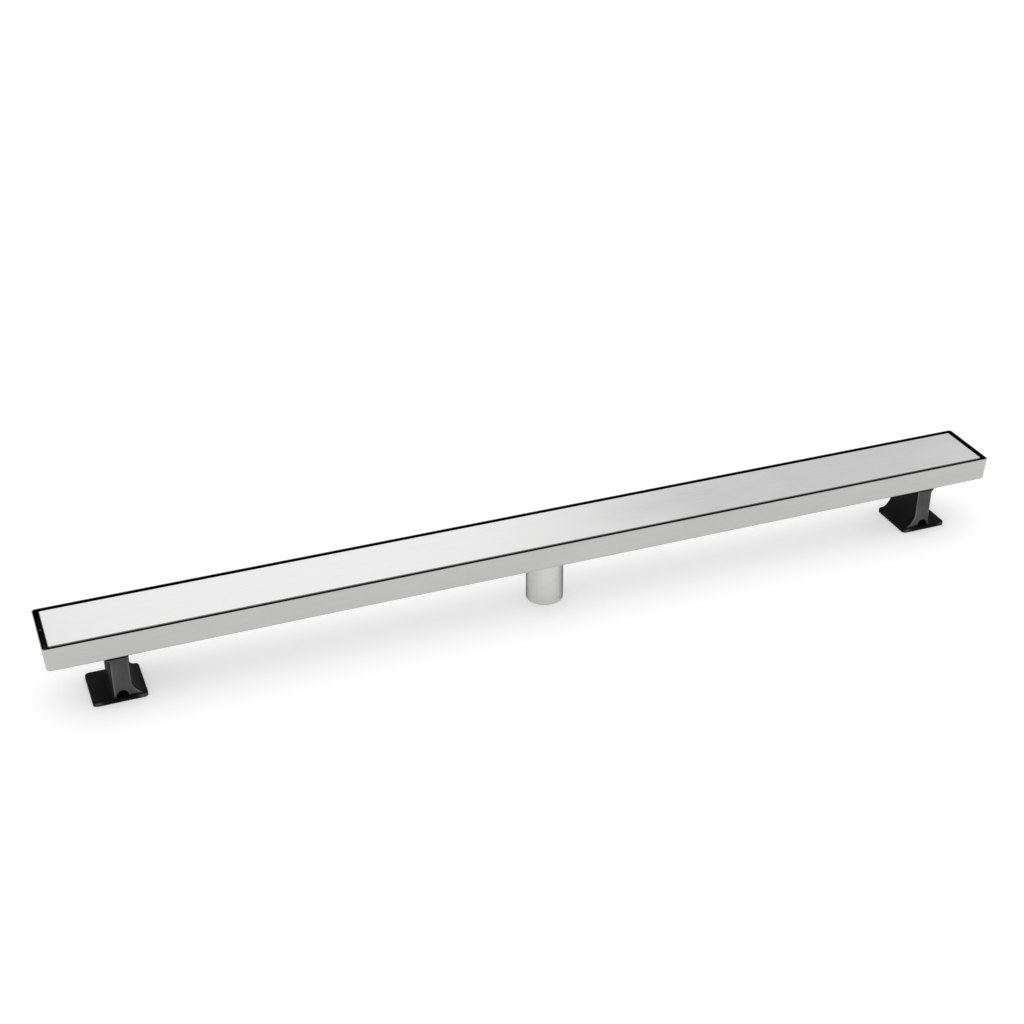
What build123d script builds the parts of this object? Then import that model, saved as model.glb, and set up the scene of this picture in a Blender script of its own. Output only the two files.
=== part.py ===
from build123d import *
import math
import os

os.makedirs("parts", exist_ok=True)

# Linear shower drain. Millimetres. X runs along the drain, Y across it, Z up.
# The origin lies on the surface the feet stand on, under the outlet's axis.

# Trough: one blank of thin stainless sheet, folded up, with welded ends
length = 1000.0
width = 72.4
wall_height = 24.3
sheet = 1.0
top_z = 79.5
corner_r = 4.0
bend_r = 2.5
channel_z = top_z - wall_height
floor_z = channel_z + sheet

# Drawn sump in the trough floor, and the outlet tube welded under it
pipe_r = 19.0
pipe_wall = 1.2
pipe_end_z = 0.3
pipe_edge_r = 1.0
sump_depth = 2.5
sump_top_r = 27.0
sump_low_r = 24.6
sump_z = channel_z - sump_depth
ring_z = sump_z + sheet

# Cover: flat plate with all four edges folded down, flush with the rim
side_slot = 4.0
end_slot = 5.0
cover_sheet = 1.0
skirt = 10.0
cover_corner_r = 1.8
cover_bend_r = 1.3
cover_length = length - 2 * (sheet + end_slot)
cover_width = width - 2 * (sheet + side_slot)
skirt_z = top_z - skirt

# Bridges that carry the cover, and the rubber pads on them
rest_positions = {
    "cover_rest_far_left": -440.0,
    "cover_rest_left": -170.0,
    "cover_rest_right": 170.0,
    "cover_rest_far_right": 440.0,
}
rest_long = 20.0
rest_width = 66.4
rest_sheet = 1.0
rest_bend_r = 2.0
pad_long = 14.0
pad_wide = 3.2
pad_thick = 1.0
pad_y = 29.6
rest_top_z = skirt_z - pad_thick

# Hair strainer: drawn, perforated cup that hangs by its flange in the sump
strainer_sheet = 0.8
strainer_flange_r = 23.0
strainer_cup_r = 16.6
strainer_depth = 20.0
strainer_hole_r = 1.5
handle_wire_r = 1.0
handle_reach = 19.5
handle_rise = 9.0
handle_bend_r = 5.0

# Levelling feet: hollow black mouldings, one at each end, turned to face each other.
# The neck stands a little inward of the middle of its base.
foot_sides = {"left": -1, "right": 1}
foot_axis_x = 433.0
base_shift = 3.0
base_x = 51.5
base_y = 53.0
base_corner_r = 4.0
base_thick = 4.4
base_edge_r = 1.5
neck_top_z = 47.0
neck_x = 18.8
neck_y = 49.6
neck_corner_r = 3.0
flare_outer_r = 3.5
flare_inner_r = 17.0
flare_turn = 72.0
head_out = 3.0
head_rise = 5.0
foot_wall = 2.6
foot_roof = 4.0
collar_hole_r = 5.9
arch_wide = 11.4
arch_sill_z = 3.6
arch_top_z = 11.6
arch_shift = 0.8

# Threaded stud under the trough and the flanged nut that runs on it
stud_r = 3.95
stud_end_z = 24.0
stud_collar_r = 6.5
stud_collar = 0.9
nut_bore_r = 4.05
nut_flat = 13.0
nut_hex = 4.0
nut_flange_r = 9.0
nut_flange = 1.0
nut_gap = 0.3
nut_collar_r = 5.6
nut_lip_r = 6.4
nut_lip = 1.1


# ---------------------------------------------------------------- trough
with BuildPart() as channel_body:
    with BuildSketch(Plane.XY.offset(channel_z)):
        RectangleRounded(length, width, corner_r)
    extrude(amount=wall_height)
    fillet(channel_body.faces().sort_by(Axis.Z)[0].edges(), radius=bend_r)
    offset(amount=-sheet, openings=channel_body.faces().sort_by(Axis.Z)[-1])
    # outside of the drawn sump
    with BuildSketch(Plane.XZ):
        with BuildLine():
            Polyline(
                (0, channel_z + 0.5 * sheet),
                (sump_top_r, channel_z + 0.5 * sheet),
                (sump_top_r, channel_z),
                (sump_low_r, sump_z),
                (0, sump_z),
                close=True,
            )
        make_face()
    revolve(axis=Axis.Z)
    # inside of the drawn sump
    with BuildSketch(Plane.XZ):
        with BuildLine():
            Polyline(
                (0, floor_z + 1.0),
                (sump_top_r - 0.5, floor_z + 1.0),
                (sump_top_r - 0.5, floor_z),
                (sump_low_r - 0.5, ring_z),
                (0, ring_z),
                close=True,
            )
        make_face()
    revolve(axis=Axis.Z, mode=Mode.SUBTRACT)
    # outlet hole
    with BuildSketch(Plane.XY.offset(sump_z - 1.0)):
        Circle(pipe_r - pipe_wall)
    extrude(amount=sheet + 2.0, mode=Mode.SUBTRACT)
channel_body.part.label = "channel_body"
export_step(channel_body.part, "parts/channel_body.step")

# ---------------------------------------------------------------- outlet tube
with BuildPart() as outlet_pipe:
    with BuildSketch(Plane.XY.offset(pipe_end_z)):
        Circle(pipe_r)
        Circle(pipe_r - pipe_wall, mode=Mode.SUBTRACT)
    extrude(amount=sump_z - pipe_end_z)
    # rounded lower edge, so that a seal slides on
    fillet(
        outlet_pipe.faces().sort_by(Axis.Z)[0].edges().sort_by(SortBy.RADIUS)[-1],
        radius=pipe_edge_r,
    )
outlet_pipe.part.label = "outlet_pipe"
export_step(outlet_pipe.part, "parts/outlet_pipe.step")

# ---------------------------------------------------------------- cover
with BuildPart() as cover_tray:
    with BuildSketch(Plane.XY.offset(skirt_z)):
        RectangleRounded(cover_length, cover_width, cover_corner_r)
    extrude(amount=skirt)
    fillet(cover_tray.faces().sort_by(Axis.Z)[-1].edges(), radius=cover_bend_r)
    offset(amount=-cover_sheet, openings=cover_tray.faces().sort_by(Axis.Z)[0])
cover_tray.part.label = "cover_tray"
export_step(cover_tray.part, "parts/cover_tray.step")

# ---------------------------------------------------------------- cover rests
for name, x in rest_positions.items():
    with BuildPart() as cover_rest:
        with BuildSketch(Plane.YZ.offset(x - rest_long / 2)) as rest_profile:
            with Locations((0, (floor_z + rest_top_z) / 2)):
                Rectangle(rest_width, rest_top_z - floor_z)
            fillet(rest_profile.vertices().group_by(Axis.Y)[-1], radius=rest_bend_r)
            with BuildSketch(mode=Mode.PRIVATE) as rest_inside:
                with Locations((0, (floor_z + rest_top_z) / 2 - rest_sheet)):
                    Rectangle(rest_width - 2 * rest_sheet, rest_top_z - floor_z)
                fillet(
                    rest_inside.vertices().group_by(Axis.Y)[-1],
                    radius=rest_bend_r - rest_sheet,
                )
            add(rest_inside.sketch, mode=Mode.SUBTRACT)
        extrude(amount=rest_long)
    cover_rest.part.label = name
    export_step(cover_rest.part, "parts/" + name + ".step")

with BuildPart() as cover_pads:
    with BuildSketch(Plane.XY.offset(rest_top_z)):
        with Locations(
            *[(x, y) for x in rest_positions.values() for y in (-pad_y, pad_y)]
        ):
            RectangleRounded(pad_long, pad_wide, 1.0)
    extrude(amount=pad_thick)
cover_pads.part.label = "cover_pads"
export_step(cover_pads.part, "parts/cover_pads.step")

# ---------------------------------------------------------------- hair strainer
cup_z = ring_z - strainer_depth
with BuildPart() as hair_strainer:
    with BuildSketch(Plane.XZ) as cup_profile:
        with BuildLine():
            Polyline(
                (0, cup_z),
                (strainer_cup_r, cup_z),
                (strainer_cup_r, ring_z),
                (strainer_flange_r, ring_z),
                (strainer_flange_r, ring_z + strainer_sheet),
                (strainer_cup_r - strainer_sheet, ring_z + strainer_sheet),
                (strainer_cup_r - strainer_sheet, cup_z + strainer_sheet),
                (0, cup_z + strainer_sheet),
                close=True,
            )
        make_face()
    revolve(axis=Axis.Z)
    # drawn radii: under and inside the cup, and where the cup turns into the flange
    for z, turn_r, radius in (
        (cup_z, strainer_cup_r, 2.0),
        (cup_z + strainer_sheet, strainer_cup_r - strainer_sheet, 1.2),
        (ring_z, strainer_cup_r, 0.7),
        (ring_z + strainer_sheet, strainer_cup_r - strainer_sheet, 1.5),
    ):
        fillet(
            hair_strainer.edges()
            .filter_by(GeomType.CIRCLE)
            .filter_by_position(Axis.Z, z - 0.01, z + 0.01)
            .filter_by(lambda e: abs(e.radius - turn_r) < 0.01),
            radius=radius,
        )
    # drain holes in the bottom of the cup
    with BuildSketch(Plane.XY.offset(cup_z - 1.0)):
        Circle(strainer_hole_r)
        with PolarLocations(5.5, 6):
            Circle(strainer_hole_r)
        with PolarLocations(11.0, 12):
            Circle(strainer_hole_r)
    extrude(amount=strainer_sheet + 2.0, mode=Mode.SUBTRACT)
    # two rows of drain holes round the side
    for row, z in enumerate((cup_z + 7.0, cup_z + 13.0)):
        with Locations((0, 0, z)):
            with PolarLocations(strainer_cup_r, 12, start_angle=row * 180.0 / 12):
                Cylinder(
                    strainer_hole_r, 4.0, rotation=(0, 90, 0), mode=Mode.SUBTRACT
                )
hair_strainer.part.label = "hair_strainer"
export_step(hair_strainer.part, "parts/hair_strainer.step")

handle_z = ring_z + strainer_sheet
with BuildPart() as strainer_handle:
    with BuildLine(Plane.XZ) as handle_path:
        FilletPolyline(
            (-handle_reach, handle_z),
            (-handle_reach, handle_z + handle_rise),
            (handle_reach, handle_z + handle_rise),
            (handle_reach, handle_z),
            radius=handle_bend_r,
        )
    with BuildSketch(Plane(origin=(-handle_reach, 0, handle_z), z_dir=(0, 0, 1))):
        Circle(handle_wire_r)
    sweep(path=handle_path.line)
strainer_handle.part.label = "strainer_handle"
export_step(strainer_handle.part, "parts/strainer_handle.step")


# ---------------------------------------------------------------- feet
def flare(radius, angle):
    """Reach and drop of a concave flare, measured from where it leaves the upright flank."""
    return radius * (1 - math.cos(angle)), radius * math.sin(angle)


flare_angle = math.radians(flare_turn)
head_angle = 2 * math.atan(head_out / head_rise)
head_r = head_rise / math.sin(head_angle)
sunk = 1.0

for side, sign in foot_sides.items():
    x = sign * foot_axis_x
    outer_x = x + sign * neck_x / 2
    inner_x = x - sign * neck_x / 2
    outer_reach, outer_drop = flare(flare_outer_r, flare_angle)
    outer_half, outer_half_drop = flare(flare_outer_r, flare_angle / 2)
    inner_reach, inner_drop = flare(flare_inner_r, flare_angle)
    inner_half, inner_half_drop = flare(flare_inner_r, flare_angle / 2)
    head_half, head_half_rise = flare(head_r, head_angle / 2)
    outer_z = base_thick + outer_drop
    inner_z = base_thick + inner_drop
    head_z = neck_top_z - head_rise

    # neck: flanks that sweep out into the base, and a head that leans outward
    with BuildPart() as neck:
        with BuildSketch(Plane.XZ):
            with BuildLine():
                Line((inner_x, neck_top_z), (outer_x + sign * head_out, neck_top_z))
                ThreePointArc(
                    (outer_x + sign * head_out, neck_top_z),
                    (outer_x + sign * head_half, head_z + head_half_rise),
                    (outer_x, head_z),
                )
                Line((outer_x, head_z), (outer_x, outer_z))
                ThreePointArc(
                    (outer_x, outer_z),
                    (outer_x + sign * outer_half, outer_z - outer_half_drop),
                    (outer_x + sign * outer_reach, base_thick),
                )
                Line(
                    (outer_x + sign * outer_reach, base_thick),
                    (outer_x + sign * outer_reach, base_thick - sunk),
                )
                Line(
                    (outer_x + sign * outer_reach, base_thick - sunk),
                    (inner_x - sign * inner_reach, base_thick - sunk),
                )
                Line(
                    (inner_x - sign * inner_reach, base_thick - sunk),
                    (inner_x - sign * inner_reach, base_thick),
                )
                ThreePointArc(
                    (inner_x - sign * inner_reach, base_thick),
                    (inner_x - sign * inner_half, inner_z - inner_half_drop),
                    (inner_x, inner_z),
                )
                Line((inner_x, inner_z), (inner_x, neck_top_z))
            make_face()
        extrude(amount=neck_y / 2, both=True)
        fillet(
            neck.faces()
            .filter_by(Axis.Y)
            .edges()
            .filter_by(lambda e: abs(e.tangent_at(0.5).Z) > 0.2 and e.center().Z > base_thick),
            radius=neck_corner_r,
        )

    with BuildPart() as foot:
        # base plate
        with BuildSketch(Plane.XY):
            with Locations((x + sign * base_shift, 0)):
                RectangleRounded(base_x, base_y, base_corner_r)
        extrude(amount=base_thick)
        fillet(foot.faces().sort_by(Axis.Z)[-1].edges(), radius=base_edge_r)
        add(neck.part)
        # hollow inside, open below
        with BuildSketch(Plane.XY.offset(-1.0)):
            with Locations((x, 0)):
                RectangleRounded(neck_x - 2 * foot_wall, neck_y - 2 * foot_wall, 1.5)
        extrude(amount=neck_top_z - foot_roof + 1.0, mode=Mode.SUBTRACT)
        # hole in the roof for the nut's collar
        with BuildSketch(Plane.XY.offset(neck_top_z + 1.0)):
            with Locations((x, 0)):
                Circle(collar_hole_r)
        extrude(amount=-(foot_roof + 2.0), mode=Mode.SUBTRACT)
        # small arch through the front and back walls, down to a low sill in the base
        arch_round_z = arch_top_z - arch_wide / 2
        with BuildSketch(Plane.XZ):
            with Locations((x + sign * arch_shift, arch_round_z)):
                Circle(arch_wide / 2)
            with Locations((x + sign * arch_shift, arch_sill_z)):
                Rectangle(
                    2 * arch_wide,
                    arch_top_z,
                    align=(Align.CENTER, Align.MAX),
                    mode=Mode.SUBTRACT,
                )
            with Locations((x + sign * arch_shift, arch_sill_z)):
                Rectangle(
                    arch_wide,
                    arch_round_z - arch_sill_z,
                    align=(Align.CENTER, Align.MIN),
                )
        extrude(amount=base_y / 2 + 1.0, both=True, mode=Mode.SUBTRACT)
    foot.part.label = "foot_" + side
    export_step(foot.part, "parts/foot_" + side + ".step")

    # ------------------------------------------------------------ weld stud
    with BuildPart() as foot_stud:
        with BuildSketch(Plane.XY.offset(stud_end_z)):
            with Locations((x, 0)):
                Circle(stud_r)
        extrude(amount=channel_z - stud_end_z)
        chamfer(foot_stud.faces().sort_by(Axis.Z)[0].edges(), length=0.8)
        with BuildSketch(Plane.XY.offset(channel_z - stud_collar)):
            with Locations((x, 0)):
                Circle(stud_collar_r)
        extrude(amount=stud_collar)
    foot_stud.part.label = "foot_stud_" + side
    export_step(foot_stud.part, "parts/foot_stud_" + side + ".step")

    # ------------------------------------------------------------ adjusting nut
    flange_z = neck_top_z + nut_gap
    hex_z = flange_z + nut_flange
    lip_z = neck_top_z - foot_roof - nut_gap - nut_lip
    with BuildPart() as adjusting_nut:
        with BuildSketch(Plane.XY.offset(hex_z)):
            with Locations((x, 0)):
                RegularPolygon(nut_flat / 2, 6, major_radius=False)
        extrude(amount=nut_hex)
        # rounded-off corners on top of the hexagon
        with BuildSketch(Plane.XZ):
            with BuildLine():
                Polyline(
                    (x, hex_z - 1.0),
                    (x + nut_flat, hex_z - 1.0),
                    (x + nut_flat, hex_z + nut_hex - 0.577 * (nut_flat / 2 + 0.3)),
                    (x + nut_flat / 2 - 0.3, hex_z + nut_hex),
                    (x, hex_z + nut_hex),
                    close=True,
                )
            make_face()
        revolve(axis=Axis((x, 0, 0), (0, 0, 1)), mode=Mode.INTERSECT)
        # flange, collar through the roof of the foot and snap lip under it
        with BuildSketch(Plane.XZ):
            with BuildLine():
                Polyline(
                    (x, hex_z + 0.4),
                    (x + 6.0, hex_z + 0.4),
                    (x + nut_flange_r, hex_z),
                    (x + nut_flange_r, flange_z),
                    (x + nut_collar_r, flange_z),
                    (x + nut_collar_r, lip_z + nut_lip),
                    (x + nut_lip_r, lip_z + nut_lip),
                    (x + nut_collar_r, lip_z),
                    (x, lip_z),
                    close=True,
                )
            make_face()
        revolve(axis=Axis((x, 0, 0), (0, 0, 1)))
        with BuildSketch(Plane.XY.offset(lip_z - 1.0)):
            with Locations((x, 0)):
                Circle(nut_bore_r)
        extrude(amount=hex_z + nut_hex - lip_z + 2.0, mode=Mode.SUBTRACT)
    adjusting_nut.part.label = "adjusting_nut_" + side
    export_step(adjusting_nut.part, "parts/adjusting_nut_" + side + ".step")
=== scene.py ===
import math

import bmesh
import bpy
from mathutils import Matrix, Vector


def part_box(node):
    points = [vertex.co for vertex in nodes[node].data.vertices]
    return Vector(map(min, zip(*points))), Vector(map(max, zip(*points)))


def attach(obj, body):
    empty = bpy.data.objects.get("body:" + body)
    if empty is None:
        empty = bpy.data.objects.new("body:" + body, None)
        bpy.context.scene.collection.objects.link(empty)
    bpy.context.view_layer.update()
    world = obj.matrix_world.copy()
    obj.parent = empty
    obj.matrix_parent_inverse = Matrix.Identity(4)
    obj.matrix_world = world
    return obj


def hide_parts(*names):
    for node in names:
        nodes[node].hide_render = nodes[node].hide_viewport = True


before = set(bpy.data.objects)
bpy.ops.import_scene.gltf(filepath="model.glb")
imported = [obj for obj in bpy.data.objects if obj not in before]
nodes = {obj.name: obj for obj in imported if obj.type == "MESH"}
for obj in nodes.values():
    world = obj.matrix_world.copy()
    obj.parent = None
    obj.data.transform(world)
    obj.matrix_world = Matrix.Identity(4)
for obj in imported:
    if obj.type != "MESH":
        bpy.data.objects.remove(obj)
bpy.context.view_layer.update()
scene = bpy.context.scene
MM = 0.001


# ------------------------------------------------------------------ sizes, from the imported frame
low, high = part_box("channel_body")
LENGTH = high.x - low.x
WIDTH = high.y - low.y
TOP_Z = high.z
SUMP_Z = low.z
SHEET = 1.0 * MM
SUMP_DEPTH = 2.5 * MM
CHANNEL_Z = SUMP_Z + SUMP_DEPTH
FLOOR_Z = CHANNEL_Z + SHEET
RING_Z = SUMP_Z + SHEET
low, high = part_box("cover_tray")
COVER_LENGTH = high.x - low.x
COVER_WIDTH = high.y - low.y
SKIRT_Z = low.z
low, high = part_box("outlet_pipe")
PIPE_R = (high.x - low.x) / 2


# ------------------------------------------------------------------ mesh helpers
def new_piece(name, bm, body, materials, smooth=40.0):
    mesh = bpy.data.meshes.new(name)
    bmesh.ops.remove_doubles(bm, verts=bm.verts, dist=1e-7)
    bmesh.ops.recalc_face_normals(bm, faces=bm.faces)
    bm.to_mesh(mesh)
    bm.free()
    mesh.shade_smooth()
    mesh.set_sharp_from_angle(angle=math.radians(smooth))
    piece = bpy.data.objects.new(name, mesh)
    scene.collection.objects.link(piece)
    for material in materials:
        mesh.materials.append(material)
    weighted = piece.modifiers.new("even_shading", "WEIGHTED_NORMAL")
    weighted.keep_sharp = True
    weighted.weight = 90
    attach(piece, body)
    return piece


def rounded_loop(half_x, half_y, radius, z, steps=8):
    """Points of a rounded rectangle, anticlockwise from the right end's front corner."""
    points = []
    radius = max(radius, 0.02 * MM)
    for corner, (sx, sy) in enumerate(((1, -1), (1, 1), (-1, 1), (-1, -1))):
        start = -90.0 + 90.0 * corner
        for i in range(steps + 1):
            a = math.radians(start + 90.0 * i / steps)
            points.append(
                (
                    sx * (half_x - radius) + radius * math.cos(a),
                    sy * (half_y - radius) + radius * math.sin(a),
                    z,
                )
            )
    return points


def circle_loop(radius, z, count=96, centre=(0.0, 0.0)):
    return [
        (
            centre[0] + radius * math.cos(2 * math.pi * i / count),
            centre[1] + radius * math.sin(2 * math.pi * i / count),
            z,
        )
        for i in range(count)
    ]


def add_loops(bm, loops, finishes=None):
    """Joins each loop of points to the next with a band of faces, and returns the loops' vertices."""
    rings = [[bm.verts.new(p) for p in loop] for loop in loops]
    for band, (a, b) in enumerate(zip(rings, rings[1:])):
        n = len(a)
        for i in range(n):
            j = (i + 1) % n
            face = bm.faces.new((a[i], a[j], b[j], b[i]))
            if finishes:
                face.material_index = finishes[band]
    return rings


def fill_between(bm, outer, inner, finish=0):
    """Fills the flat area between an outer ring and an inner ring."""
    edges = []
    for ring in (outer, inner):
        n = len(ring)
        for i in range(n):
            pair = (ring[i], ring[(i + 1) % n])
            edges.append(bm.edges.get(pair) or bm.edges.new(pair))
    filled = bmesh.ops.triangle_fill(bm, use_beauty=True, use_dissolve=False, edges=edges)
    for part in filled["geom"]:
        if isinstance(part, bmesh.types.BMFace):
            part.material_index = finish


def arc(a0, a1, steps):
    return [math.radians(a0 + (a1 - a0) * i / steps) for i in range(steps + 1)]


# ------------------------------------------------------------------ materials
def graph(name):
    material = bpy.data.materials.new(name)
    material.use_nodes = True
    tree = material.node_tree
    shader = tree.nodes["Principled BSDF"]
    return material, tree, shader


def coords(tree, scale, offset=(0.0, 0.0, 0.0)):
    place = tree.nodes.new("ShaderNodeTexCoord")
    mapping = tree.nodes.new("ShaderNodeMapping")
    mapping.inputs["Scale"].default_value = scale
    mapping.inputs["Location"].default_value = offset
    tree.links.new(place.outputs["Object"], mapping.inputs["Vector"])
    return mapping.outputs["Vector"]


def noise(tree, vector, detail=3.0, roughness=0.55, distortion=0.0):
    n = tree.nodes.new("ShaderNodeTexNoise")
    n.inputs["Scale"].default_value = 1.0
    n.inputs["Detail"].default_value = detail
    n.inputs["Roughness"].default_value = roughness
    n.inputs["Distortion"].default_value = distortion
    tree.links.new(vector, n.inputs["Vector"])
    return n.outputs["Fac"]


def ranged(tree, value, from_min, from_max, to_min, to_max):
    m = tree.nodes.new("ShaderNodeMapRange")
    m.clamp = True
    for key, number in (
        ("From Min", from_min),
        ("From Max", from_max),
        ("To Min", to_min),
        ("To Max", to_max),
    ):
        m.inputs[key].default_value = number
    tree.links.new(value, m.inputs["Value"])
    return m.outputs["Result"]


def maths(tree, kind, a, b):
    m = tree.nodes.new("ShaderNodeMath")
    m.operation = kind
    for i, x in enumerate((a, b)):
        if isinstance(x, (int, float)):
            m.inputs[i].default_value = x
        else:
            tree.links.new(x, m.inputs[i])
    return m.outputs["Value"]


def shaded(tree, factor, dark, light):
    """A colour between dark and light; either may be a colour socket."""
    mix = tree.nodes.new("ShaderNodeMix")
    mix.data_type = "RGBA"
    for socket, colour in (("A", dark), ("B", light)):
        if isinstance(colour, tuple):
            mix.inputs[socket].default_value = (*colour, 1.0)
        else:
            tree.links.new(colour, mix.inputs[socket])
    tree.links.new(factor, mix.inputs["Factor"])
    return mix.outputs["Result"]


def bump(tree, height, strength, distance, shader):
    b = tree.nodes.new("ShaderNodeBump")
    b.inputs["Strength"].default_value = strength
    b.inputs["Distance"].default_value = distance
    tree.links.new(height, b.inputs["Height"])
    tree.links.new(b.outputs["Normal"], shader.inputs["Normal"])


def brushed_steel(name, dark, light, rough, grain, depth):
    """Satin stainless: fine scratches drawn out along one direction, faint clouds of tone and of roughness."""
    material, tree, shader = graph(name)
    shader.inputs["Metallic"].default_value = 1.0
    scratches = noise(tree, coords(tree, grain), detail=4.0, roughness=0.6)
    clouds = noise(tree, coords(tree, (9.0, 30.0, 30.0), (3.1, 7.7, 1.3)), detail=3.0)
    tone = maths(
        tree,
        "ADD",
        ranged(tree, scratches, 0.3, 0.7, 0.0, 0.6),
        ranged(tree, clouds, 0.3, 0.7, 0.0, 0.4),
    )
    tree.links.new(shaded(tree, tone, dark, light), shader.inputs["Base Color"])
    spread = maths(
        tree,
        "ADD",
        ranged(tree, scratches, 0.25, 0.75, rough - 0.05, rough + 0.05),
        ranged(tree, clouds, 0.3, 0.7, -0.03, 0.03),
    )
    tree.links.new(spread, shader.inputs["Roughness"])
    bump(tree, scratches, depth, 0.00002, shader)
    return material


def weld_steel(name):
    """Weld bead: rippled metal with straw and blue heat tint in patches."""
    material, tree, shader = graph(name)
    shader.inputs["Metallic"].default_value = 1.0
    ripple = noise(tree, coords(tree, (700.0, 700.0, 700.0)), detail=3.0)
    heat = noise(tree, coords(tree, (90.0, 90.0, 90.0), (2.2, 0.9, 4.1)), detail=2.0)
    plain = shaded(tree, ranged(tree, ripple, 0.3, 0.7, 0.0, 1.0), (0.36, 0.36, 0.35), (0.50, 0.50, 0.49))
    tint = shaded(tree, ranged(tree, ripple, 0.3, 0.7, 0.0, 1.0), (0.40, 0.33, 0.22), (0.34, 0.35, 0.42))
    tree.links.new(
        shaded(tree, ranged(tree, heat, 0.45, 0.70, 0.0, 0.6), plain, tint),
        shader.inputs["Base Color"],
    )
    tree.links.new(ranged(tree, ripple, 0.3, 0.7, 0.28, 0.44), shader.inputs["Roughness"])
    bump(tree, ripple, 0.25, 0.00006, shader)
    return material


def moulded_plastic(name, dark, light, rough, grain, depth):
    """Black moulded plastic: fine spark-eroded texture, slightly uneven sheen."""
    material, tree, shader = graph(name)
    fine = noise(tree, coords(tree, (grain, grain, grain)), detail=2.0, roughness=0.5)
    flow = noise(tree, coords(tree, (60.0, 60.0, 25.0), (1.7, 0.4, 5.2)), detail=2.0)
    tree.links.new(
        shaded(tree, ranged(tree, flow, 0.3, 0.7, 0.0, 1.0), dark, light),
        shader.inputs["Base Color"],
    )
    spread = maths(
        tree,
        "ADD",
        ranged(tree, fine, 0.3, 0.7, rough - 0.05, rough + 0.05),
        ranged(tree, flow, 0.3, 0.7, -0.04, 0.04),
    )
    tree.links.new(spread, shader.inputs["Roughness"])
    shader.inputs["Specular IOR Level"].default_value = 0.3
    bump(tree, fine, depth, 0.00004, shader)
    return material


def foot_plastic(name):
    """Black moulding: deep dull texture on the flanks and base, which are painted near-black as shade;
    smoother faces at front and back painted lighter as if lit; and a painted highlight, broken into patches,
    along the edges where those faces turn the corner."""
    material, tree, shader = graph(name)
    place = tree.nodes.new("ShaderNodeTexCoord")
    split = tree.nodes.new("ShaderNodeSeparateXYZ")
    tree.links.new(place.outputs["Normal"], split.inputs["Vector"])
    facing = maths(tree, "ABSOLUTE", split.outputs["Y"], 0.0)
    # the neck's front and back faces are smoother and painted lighter as if lit all over, the base's rim only
    # near its corners
    spot = tree.nodes.new("ShaderNodeSeparateXYZ")
    tree.links.new(place.outputs["Object"], spot.inputs["Vector"])
    foot_low, foot_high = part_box("foot_right")
    from_middle = maths(
        tree,
        "ABSOLUTE",
        maths(
            tree,
            "SUBTRACT",
            maths(tree, "ABSOLUTE", spot.outputs["X"], 0.0),
            (foot_low.x + foot_high.x) / 2,
        ),
        0.0,
    )
    on_neck = ranged(tree, spot.outputs["Z"], 4.2 * MM, 7.5 * MM, 0.0, 1.0)
    at_corner = ranged(tree, from_middle, 15.0 * MM, 20.0 * MM, 0.0, 0.75)
    # the hollow's walls lie nearer the middle than the outer faces do, and stay rough and painted dark as if
    # shaded
    outside = maths(
        tree, "GREATER_THAN", maths(tree, "ABSOLUTE", spot.outputs["Y"], 0.0), 23.0 * MM
    )
    # smoother front and back faces, which are also painted lighter as if lit
    smooth_face_painted_light = maths(
        tree,
        "MULTIPLY",
        maths(tree, "MULTIPLY", ranged(tree, facing, 0.62, 0.90, 0.0, 1.0), outside),
        maths(tree, "MAXIMUM", on_neck, at_corner),
    )
    # painted highlight along the rounded edges where the neck's front and back faces turn the corner
    painted_edge_highlight = maths(
        tree,
        "MULTIPLY",
        maths(
            tree,
            "MULTIPLY",
            ranged(tree, facing, 0.66, 0.84, 0.0, 1.0),
            ranged(tree, facing, 0.90, 0.995, 1.0, 0.0),
        ),
        on_neck,
    )
    fine = noise(tree, coords(tree, (2600.0, 2600.0, 2600.0)), detail=2.0, roughness=0.5)
    flow = noise(tree, coords(tree, (55.0, 55.0, 30.0), (1.7, 0.4, 5.2)), detail=3.0)
    flow_range = ranged(tree, flow, 0.3, 0.7, 0.0, 1.0)
    # painted shade and painted light: near-black for the flanks, base and hollow as if shaded, lighter for the
    # front and back faces as if lit
    painted_shade_black = shaded(tree, flow_range, (0.0020, 0.0020, 0.0022), (0.0050, 0.0050, 0.0053))
    painted_lit_grey = shaded(tree, flow_range, (0.050, 0.050, 0.049), (0.088, 0.088, 0.086))
    body = shaded(tree, smooth_face_painted_light, painted_shade_black, painted_lit_grey)
    # noise that breaks the painted edge highlight into patches
    highlight_breakup = ranged(tree, flow, 0.35, 0.65, 0.35, 1.0)
    tree.links.new(
        shaded(tree, maths(tree, "MULTIPLY", painted_edge_highlight, highlight_breakup), body, (0.170, 0.170, 0.168)),
        shader.inputs["Base Color"],
    )
    spread = maths(
        tree,
        "ADD",
        ranged(tree, smooth_face_painted_light, 0.0, 1.0, 0.72, 0.46),
        ranged(tree, fine, 0.3, 0.7, -0.05, 0.05),
    )
    tree.links.new(spread, shader.inputs["Roughness"])
    shader.inputs["Specular IOR Level"].default_value = 0.10
    bump(tree, fine, 0.30, 0.00004, shader)
    return material


COVER_STEEL = brushed_steel(
    "cover_steel", (0.69, 0.69, 0.685), (0.79, 0.79, 0.785), 0.33, (14.0, 2600.0, 2600.0), 0.10
)
# dark steel for the cover's outer bend, skirts and underside: painted shade, the cover's own steel darkened
EDGE_STEEL_PAINTED_SHADE = brushed_steel(
    "edge_steel_painted_shade", (0.13, 0.13, 0.13), (0.19, 0.19, 0.185), 0.22, (60.0, 900.0, 900.0), 0.06
)
TROUGH_STEEL = brushed_steel(
    "trough_steel", (0.44, 0.44, 0.43), (0.53, 0.53, 0.516), 0.34, (14.0, 2400.0, 2400.0), 0.10
)
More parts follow.
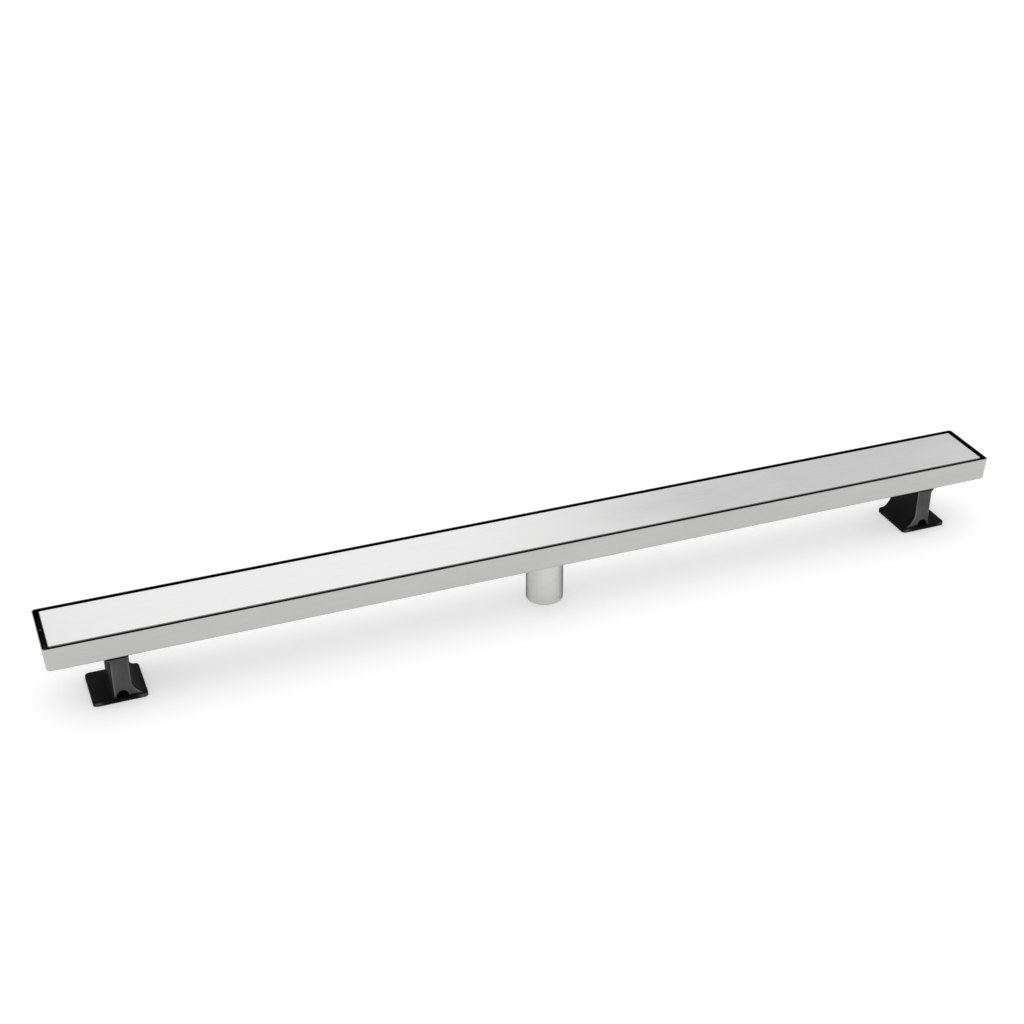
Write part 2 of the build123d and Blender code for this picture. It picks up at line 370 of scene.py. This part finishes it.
# dark steel for surfaces inside the channel and the slots: painted shade, the trough's own steel darkened
INSIDE_STEEL_PAINTED_SHADE = brushed_steel(
    "inside_steel_painted_shade", (0.12, 0.12, 0.12), (0.18, 0.18, 0.175), 0.22, (60.0, 700.0, 700.0), 0.06
)
TUBE_STEEL = brushed_steel(
    "tube_steel", (0.57, 0.57, 0.555), (0.66, 0.66, 0.64), 0.29, (90.0, 90.0, 3000.0), 0.08
)
# drawn stainless tube reflects less at a grazing angle
TUBE_STEEL.node_tree.nodes["Principled BSDF"].inputs["Specular Tint"].default_value = (
    0.12,
    0.12,
    0.12,
    1.0,
)
INNER_STEEL = brushed_steel(
    "inner_steel", (0.42, 0.42, 0.41), (0.52, 0.52, 0.51), 0.36, (300.0, 300.0, 300.0), 0.06
)
STUD_STEEL = brushed_steel(
    "stud_steel", (0.46, 0.46, 0.45), (0.56, 0.56, 0.55), 0.30, (400.0, 400.0, 1800.0), 0.06
)
WELD_STEEL = weld_steel("weld_steel")
FOOT_PLASTIC = foot_plastic("foot_plastic")
NUT_PLASTIC = moulded_plastic(
    "nut_plastic", (0.010, 0.010, 0.010), (0.020, 0.020, 0.020), 0.46, 2200.0, 0.30
)
PAD_RUBBER = moulded_plastic(
    "pad_rubber", (0.012, 0.012, 0.012), (0.025, 0.025, 0.025), 0.62, 1500.0, 0.40
)


# ------------------------------------------------------------------ trough
bm = bmesh.new()
hx, hy, corner = LENGTH / 2, WIDTH / 2, 4.0 * MM
bend = 2.5 * MM
edge = 0.16 * MM
loops, finishes = [], []
for a in arc(0, 90, 9):
    loops.append((bend * (1 - math.sin(a)), CHANNEL_Z + bend * (1 - math.cos(a))))
    finishes.append(0)
for a in arc(0, 90, 3):
    loops.append((edge * (1 - math.cos(a)), TOP_Z - edge * (1 - math.sin(a))))
    finishes.append(0)
# the rim's inner edge, the inner walls and the inner bend take the dark inside steel: painted shade in the
# slots
for a in arc(90, 0, 3):
    loops.append((SHEET - edge * (1 - math.cos(a)), TOP_Z - edge * (1 - math.sin(a))))
    finishes.append(1)
inner_bend = 1.5 * MM
for a in arc(90, 0, 6):
    inset = SHEET + inner_bend * (1 - math.sin(a))
    loops.append((inset, FLOOR_Z + inner_bend * (1 - math.cos(a))))
    finishes.append(1)
# the end walls lean in a little towards the bottom
end_lean = 1.8 * MM / (TOP_Z - CHANNEL_Z)
rings = add_loops(
    bm,
    [
        rounded_loop(hx - d - end_lean * (TOP_Z - z), hy - d, corner - d, z, 10)
        for d, z in loops
    ],
    finishes,
)
# drawn sump with the outlet hole: upper side, hole and under side
sump_profile = [
    (27.0, FLOOR_Z, 1),
    (26.65, FLOOR_Z - 0.08 * MM, 1),
    (26.3, FLOOR_Z - 0.30 * MM, 1),
    (25.0, FLOOR_Z - 1.75 * MM, 1),
    (24.6, RING_Z + 0.34 * MM, 1),
    (24.2, RING_Z + 0.10 * MM, 1),
    (23.8, RING_Z, 1),
    (17.8, RING_Z, 1),
    (17.8, SUMP_Z, 0),
    (24.2, SUMP_Z, 0),
    (24.7, SUMP_Z + 0.12 * MM, 0),
    (25.1, SUMP_Z + 0.45 * MM, 0),
    (26.6, CHANNEL_Z - 0.45 * MM, 0),
    (27.0, CHANNEL_Z - 0.12 * MM, 0),
    (27.5, CHANNEL_Z, 0),
]
sump = add_loops(
    bm, [circle_loop(r * MM, z) for r, z, f in sump_profile], [f for r, z, f in sump_profile]
)
# the channel's floor and the sump's upper side take the dark inside steel: painted shade
fill_between(bm, rings[-1], sump[0], 1)
fill_between(bm, rings[0], sump[-1], 0)
trough = new_piece("trough", bm, "drain", [TROUGH_STEEL, INSIDE_STEEL_PAINTED_SHADE])
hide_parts("channel_body")

# ------------------------------------------------------------------ cover
bm = bmesh.new()
hx, hy, corner = COVER_LENGTH / 2, COVER_WIDTH / 2, 1.8 * MM
cover_sheet = 1.0 * MM
bend = 1.3 * MM
loops, finishes = [], []
# the bend past its first two steps, the skirts and the underside take the dark edge steel: painted shade that
# keeps the slot black and the bend's highlight faint
for i, a in enumerate(arc(90, 0, 8)):
    loops.append((bend * (1 - math.cos(a)), TOP_Z - bend * (1 - math.sin(a))))
    finishes.append(0 if i < 2 else 1)
for a in arc(0, 90, 3):
    loops.append((edge * (1 - math.cos(a)), SKIRT_Z + edge * (1 - math.sin(a))))
    finishes.append(1)
for a in arc(90, 0, 3):
    loops.append(
        (cover_sheet - edge * (1 - math.cos(a)), SKIRT_Z + edge * (1 - math.sin(a)))
    )
    finishes.append(1)
inner_bend = 0.3 * MM
for a in arc(0, 90, 3):
    loops.append(
        (
            cover_sheet + inner_bend * (1 - math.cos(a)),
            TOP_Z - cover_sheet - inner_bend * (1 - math.sin(a)),
        )
    )
    finishes.append(1)
rings = add_loops(
    bm, [rounded_loop(hx - d, hy - d, corner - d, z) for d, z in loops], finishes
)
bm.faces.new(rings[0]).material_index = 0
bm.faces.new(rings[-1]).material_index = 1
cover = new_piece("cover", bm, "drain", [COVER_STEEL, EDGE_STEEL_PAINTED_SHADE])
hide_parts("cover_tray")

# ------------------------------------------------------------------ weld round the outlet, under the sump
bm = bmesh.new()
count = 240
profile = [
    (18.9, 0.05),
    (18.9, -1.75),
    (19.25, -1.62),
    (19.75, -1.20),
    (20.15, -0.70),
    (20.45, -0.28),
    (20.60, 0.05),
]
rings = []
for i in range(count):
    a = 2 * math.pi * i / count
    ripple = 0.5 + 0.5 * math.cos(60 * a)
    wander = 0.10 * math.sin(5 * a + 0.7) + 0.06 * math.sin(11 * a + 2.1)
    ring = []
    for k, (r, z) in enumerate(profile):
        if 2 <= k <= 5:
            r = r + 0.12 * ripple + wander
            z = z - 0.10 * ripple
        ring.append(
            bm.verts.new((r * MM * math.cos(a), r * MM * math.sin(a), SUMP_Z + z * MM))
        )
    rings.append(ring)
for i in range(count):
    a, b = rings[i], rings[(i + 1) % count]
    for k in range(len(profile)):
        m = (k + 1) % len(profile)
        bm.faces.new((a[k], b[k], b[m], a[m]))
new_piece("outlet_weld", bm, "drain", [WELD_STEEL])

# ------------------------------------------------------------------ threaded studs with their weld collars
for side in ("left", "right"):
    low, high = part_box("foot_stud_" + side)
    cx, cy = (low.x + high.x) / 2, (low.y + high.y) / 2
    crest, root, pitch = 3.95 * MM, 3.28 * MM, 1.25 * MM
    around = 36
    thread_top = high.z - 2.2 * MM
    steps = int((thread_top - low.z) / (pitch / 8))
    bm = bmesh.new()
    rings = []
    for k in range(steps + 1):
        z = low.z + (thread_top - low.z) * k / steps
        limit = min(3.15 * MM + (z - low.z), crest)
        ring = []
        for i in range(around):
            turn = ((z - low.z) / pitch - i / around) % 1.0
            wave = min(1.0, max(0.0, 1.5 - abs(turn - 0.5) * 3.6))
            r = min(root + (crest - root) * wave, limit)
            a = 2 * math.pi * i / around
            ring.append((cx + r * math.cos(a), cy + r * math.sin(a), z))
        rings.append(ring)
    rings.append(circle_loop(3.60 * MM, high.z - 1.75 * MM, around, (cx, cy)))
    rings.append(circle_loop(3.80 * MM, high.z - 1.35 * MM, around, (cx, cy)))
    for r, drop in ((4.25, 1.05), (5.0, 0.92), (6.1, 0.86), (6.4, 0.66), (6.5, 0.40), (6.5, 0.0)):
        rings.append(circle_loop(r * MM, high.z - drop * MM, around, (cx, cy)))
    made = add_loops(bm, rings)
    bm.faces.new(made[0])
    bm.faces.new(made[-1])
    stud = new_piece("stud_" + side, bm, "drain", [STUD_STEEL], 50.0)
    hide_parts("foot_stud_" + side)

# ------------------------------------------------------------------ finishes on the other pieces
finish = {
    "outlet_pipe": TUBE_STEEL,
    # the cover rests take the dark inside steel: painted shade that hides them in the slots
    "cover_rest_far_left": INSIDE_STEEL_PAINTED_SHADE,
    "cover_rest_left": INSIDE_STEEL_PAINTED_SHADE,
    "cover_rest_right": INSIDE_STEEL_PAINTED_SHADE,
    "cover_rest_far_right": INSIDE_STEEL_PAINTED_SHADE,
    "cover_pads": PAD_RUBBER,
    "hair_strainer": INNER_STEEL,
    "strainer_handle": INNER_STEEL,
    "foot_left": FOOT_PLASTIC,
    "foot_right": FOOT_PLASTIC,
    "adjusting_nut_left": NUT_PLASTIC,
    "adjusting_nut_right": NUT_PLASTIC,
}
for name, material in finish.items():
    nodes[name].data.materials.clear()
    nodes[name].data.materials.append(material)
for name in ("channel_body", "cover_tray", "foot_stud_left", "foot_stud_right"):
    nodes[name].data.materials.clear()
    nodes[name].data.materials.append(TROUGH_STEEL)
# broken edges on the mouldings
for name, size in (
    ("foot_left", 0.40),
    ("foot_right", 0.40),
    ("adjusting_nut_left", 0.25),
    ("adjusting_nut_right", 0.25),
):
    soft_edge = nodes[name].modifiers.new("broken_edges", "BEVEL")
    soft_edge.width = size * MM
    soft_edge.segments = 3
    soft_edge.limit_method = "ANGLE"
    soft_edge.angle_limit = math.radians(40.0)
    soft_edge.harden_normals = True

# ------------------------------------------------------------------ stage, light and camera
bm = bmesh.new()
bmesh.ops.create_grid(bm, x_segments=1, y_segments=1, size=30.0)
mesh = bpy.data.meshes.new("floor")
bm.to_mesh(mesh)
bm.free()
floor = bpy.data.objects.new("floor", mesh)
scene.collection.objects.link(floor)
material, tree, shader = graph("floor_paint")
paint = noise(tree, coords(tree, (3.0, 3.0, 3.0)), detail=2.0)
shader.inputs["Roughness"].default_value = 0.9
shader.inputs["Specular IOR Level"].default_value = 0.1
# a pale, faintly glowing sweep; inside the feet's hollow necks it is painted dark and gives no glow, as
# painted shade
place = tree.nodes.new("ShaderNodeTexCoord")
split = tree.nodes.new("ShaderNodeSeparateXYZ")
tree.links.new(place.outputs["Object"], split.inputs["Vector"])
nut_low, nut_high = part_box("adjusting_nut_right")
along = maths(
    tree,
    "SUBTRACT",
    maths(tree, "ABSOLUTE", split.outputs["X"], 0.0),
    (nut_low.x + nut_high.x) / 2,
)
painted_shade_under_foot = maths(
    tree,
    "MULTIPLY",
    maths(tree, "LESS_THAN", maths(tree, "ABSOLUTE", along, 0.0), 8.0 * MM),
    maths(tree, "LESS_THAN", maths(tree, "ABSOLUTE", split.outputs["Y"], 0.0), 23.5 * MM),
)
pale = shaded(tree, paint, (0.90, 0.90, 0.90), (0.92, 0.92, 0.92))
tree.links.new(shaded(tree, painted_shade_under_foot, pale, (0.02, 0.02, 0.02)), shader.inputs["Base Color"])
shader.inputs["Emission Color"].default_value = (1.0, 1.0, 1.0, 1.0)
tree.links.new(
    ranged(tree, painted_shade_under_foot, 0.0, 1.0, 0.28, 0.0), shader.inputs["Emission Strength"]
)
mesh.materials.append(material)

# a white studio tent, brightest overhead, and white again where it meets the floor
world = bpy.data.worlds.new("studio")
scene.world = world
world.use_nodes = True
tent = world.node_tree
background = tent.nodes["Background"]
background.inputs["Color"].default_value = (1.0, 1.0, 1.0, 1.0)
place = tent.nodes.new("ShaderNodeTexCoord")
split = tent.nodes.new("ShaderNodeSeparateXYZ")
tent.links.new(place.outputs["Generated"], split.inputs["Vector"])
tent.links.new(
    maths(
        tent,
        "MAXIMUM",
        ranged(tent, split.outputs["Z"], 0.58, 0.88, 0.70, 1.10),
        ranged(tent, split.outputs["Z"], 0.06, 0.24, 1.02, 0.70),
    ),
    background.inputs["Strength"],
)


def softbox(name, place, aim, size_x, size_y, radiance):
    light = bpy.data.lights.new(name, "AREA")
    light.shape = "RECTANGLE"
    light.size = size_x
    light.size_y = size_y
    light.energy = radiance * math.pi * size_x * size_y
    lamp = bpy.data.objects.new(name, light)
    scene.collection.objects.link(lamp)
    lamp.location = place
    lamp.rotation_euler = (
        (Vector(aim) - Vector(place)).to_track_quat("-Z", "Y").to_euler()
    )
    return lamp


softbox("behind", (0.30, 2.6, 1.6), (0.0, 0.0, 0.05), 1.8, 1.4, 0.54)
softbox("behind_right", (3.1, 2.4, 1.5), (0.0, 0.0, 0.05), 0.8, 1.0, 0.30)
softbox("front_fill", (-0.7, -3.2, 1.1), (0.0, 0.0, 0.05), 3.0, 1.6, 0.30)

camera_data = bpy.data.cameras.new("camera")
camera_data.sensor_fit = "HORIZONTAL"
camera_data.sensor_width = 36.0
camera_data.lens = 60.133
camera_data.clip_start = 0.05
camera_data.clip_end = 50.0
camera = bpy.data.objects.new("camera", camera_data)
scene.collection.objects.link(camera)
camera.location = (-0.56205, -1.35976, 0.87612 + TOP_Z)
# tilted 30.2 degrees down and turned 21.2 degrees to the right
camera.rotation_euler = (math.radians(90.0 - 30.22), 0.0, math.radians(-21.17))
scene.camera = camera
scene.view_settings.view_transform = "Standard"
scene.view_settings.look = "None"
